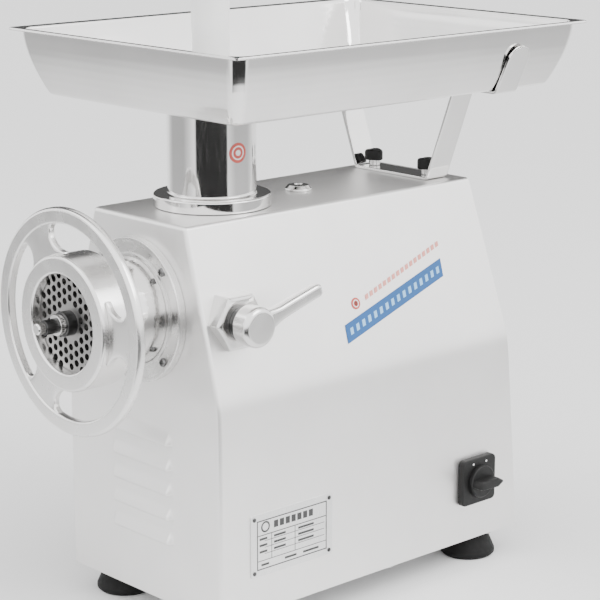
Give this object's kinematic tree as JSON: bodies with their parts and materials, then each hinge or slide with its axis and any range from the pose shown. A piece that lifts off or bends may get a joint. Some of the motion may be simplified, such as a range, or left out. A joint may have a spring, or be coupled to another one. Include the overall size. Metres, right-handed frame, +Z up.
{
  "type": "electric meat grinder",
  "caption": "Electric meat grinder: folded steel body on rubber feet, grinding head with hand wheel, feed neck, tray and pusher, and a belt and gear drive inside.",
  "frame": {"origin": "centre of the footprint, on the worktop under the feet", "axes": "+Z up, -Y out of the grinding head's mouth, +X to the side that carries the switch and the clamp lever"},
  "size_m": [0.315, 0.522, 0.6325],
  "materials": {
    "brushed_body": "vertically brushed stainless sheet",
    "base_steel": "plain galvanised sheet",
    "screw_steel": "plain machine screws",
    "satin_steel": "satin turned steel",
    "polished_steel": "polished stainless",
    "tray_steel": "polished pressed sheet",
    "gasket_rubber": "black rubber",
    "cast_auger": "tinned casting",
    "turned_steel": "bright turned steel",
    "washer_nylon": "natural nylon",
    "plate_steel": "ground plate steel",
    "dark_steel": "blackened steel",
    "frame_paint": "grey enamel",
    "gearbox_paint": "cast, grey enamel",
    "gear_steel": "oiled hardened steel",
    "pulley_iron": "turned cast iron",
    "belt_rubber": "fabric wrapped rubber",
    "motor_paint": "blue-grey enamel",
    "winding_copper": "enamelled copper and laminations",
    "black_plastic": "black moulded plastic",
    "fan_cover_paint": "grey enamel",
    "can_aluminium": "drawn can",
    "white_plastic": "white moulded plastic",
    "plate_print": "printed foil plate",
    "foot_rubber": "black moulded rubber"
  },
  "bodies": {
    "root": {"housing_shell": "brushed_body", "rear_cover": "brushed_body", "base_plate": "base_steel", "cover_screws": "screw_steel", "front_flange": "satin_steel", "flange_screws": "screw_steel", "barrel": "polished_steel", "neck_gasket": "gasket_rubber", "feed_neck": "polished_steel", "thrust_washer": "washer_nylon", "plate_key": "turned_steel", "frame_plate": "frame_paint", "gearbox_housing": "gearbox_paint", "gearbox_cover": "gearbox_paint", "gearbox_screws": "screw_steel", "drive_bearings": "turned_steel", "shaft_seal": "gasket_rubber", "pinion_bearings": "turned_steel", "drive_belt": "belt_rubber", "motor_casing": "motor_paint", "motor_stator": "winding_copper", "motor_end_bells": "motor_paint", "motor_bearings": "turned_steel", "fan_cover": "fan_cover_paint", "motor_cradle": "frame_paint", "motor_bolts": "screw_steel", "capacitor": "can_aluminium", "terminal_box": "black_plastic", "switch_plate": "black_plastic", "switch_body": "black_plastic", "cable_gland": "black_plastic", "clamp_boss": "satin_steel", "tray_bracket": "polished_steel", "bracket_studs": "turned_steel", "oil_plug": "polished_steel", "data_plate": "plate_print", "rubber_feet": "foot_rubber", "foot_bolts": "screw_steel"},
    "auger_set": {"auger": "cast_auger", "auger_tang": "cast_auger", "auger_stud": "turned_steel", "knife": "turned_steel", "main_gear": "gear_steel", "drive_shaft": "turned_steel"},
    "plate_set": {"grinding_plate": "plate_steel", "plate_bush": "plate_steel", "bush_collar": "dark_steel"},
    "hand_wheel": {"hand_wheel": "polished_steel"},
    "layshaft": {"pinion_shaft": "gear_steel", "large_pulley": "pulley_iron"},
    "rotor": {"motor_rotor": "turned_steel", "motor_pulley": "pulley_iron", "motor_fan": "black_plastic"},
    "clamp": {"clamp_screw": "dark_steel", "clamp_lever": "polished_steel"},
    "switch_knob": {"switch_knob": "black_plastic"},
    "tray": {"tray": "tray_steel"},
    "pusher": {"pusher": "white_plastic"},
    "thumb_knob_left": {"thumb_knob_left": "black_plastic"},
    "thumb_knob_right": {"thumb_knob_right": "black_plastic"}
  },
  "joints": [
    {"name": "auger_spin", "type": "hinge", "parent": "root", "child": "auger_set", "pos_m": [0, 0, 0.294], "axis": [0, -1, 0], "continuous": true},
    {"name": "layshaft_spin", "type": "hinge", "parent": "root", "child": "layshaft", "pos_m": [0, 0, 0.228], "axis": [0, -1, 0], "continuous": true},
    {"name": "rotor_spin", "type": "hinge", "parent": "root", "child": "rotor", "pos_m": [0, 0, 0.118], "axis": [0, -1, 0], "continuous": true},
    {"name": "plate_travel", "type": "slide", "parent": "root", "child": "plate_set", "axis": [0, -1, 0], "range_m": [0, 0.0061]},
    {"name": "hand_wheel_turn", "type": "hinge", "parent": "plate_set", "child": "hand_wheel", "pos_m": [0, 0, 0.294], "axis": [0, -1, 0], "range_deg": [0, 720]},
    {"name": "clamp_turn", "type": "hinge", "parent": "root", "child": "clamp", "pos_m": [0.11, -0.118, 0.294], "axis": [1, 0, 0], "range_deg": [0, 120]},
    {"name": "switch_turn", "type": "hinge", "parent": "root", "child": "switch_knob", "pos_m": [0.115, 0.173, 0.089], "axis": [1, 0, 0], "range_deg": [-60, 60]},
    {"name": "tray_lift", "type": "slide", "parent": "root", "child": "tray", "axis": [0, 0, 1], "range_m": [0, 0.06]},
    {"name": "pusher_lift", "type": "slide", "parent": "tray", "child": "pusher", "axis": [0, 0, 1], "range_m": [0, 0.2]},
    {"name": "knob_left_turn", "type": "hinge", "parent": "root", "child": "thumb_knob_left", "pos_m": [-0.036, 0.175, 0.385], "axis": [0, 0, 1], "range_deg": [0, 360]},
    {"name": "knob_right_turn", "type": "hinge", "parent": "root", "child": "thumb_knob_right", "pos_m": [0.036, 0.175, 0.385], "axis": [0, 0, 1], "range_deg": [0, 360]}
  ],
  "couplings": [
    {"joint": "layshaft_spin", "follows": "auger_spin", "ratio": -2.8824},
    {"joint": "rotor_spin", "follows": "auger_spin", "ratio": -8.7811},
    {"joint": "plate_travel", "follows": "hand_wheel_turn", "m_per_rad": 0.00047746}
  ]
}
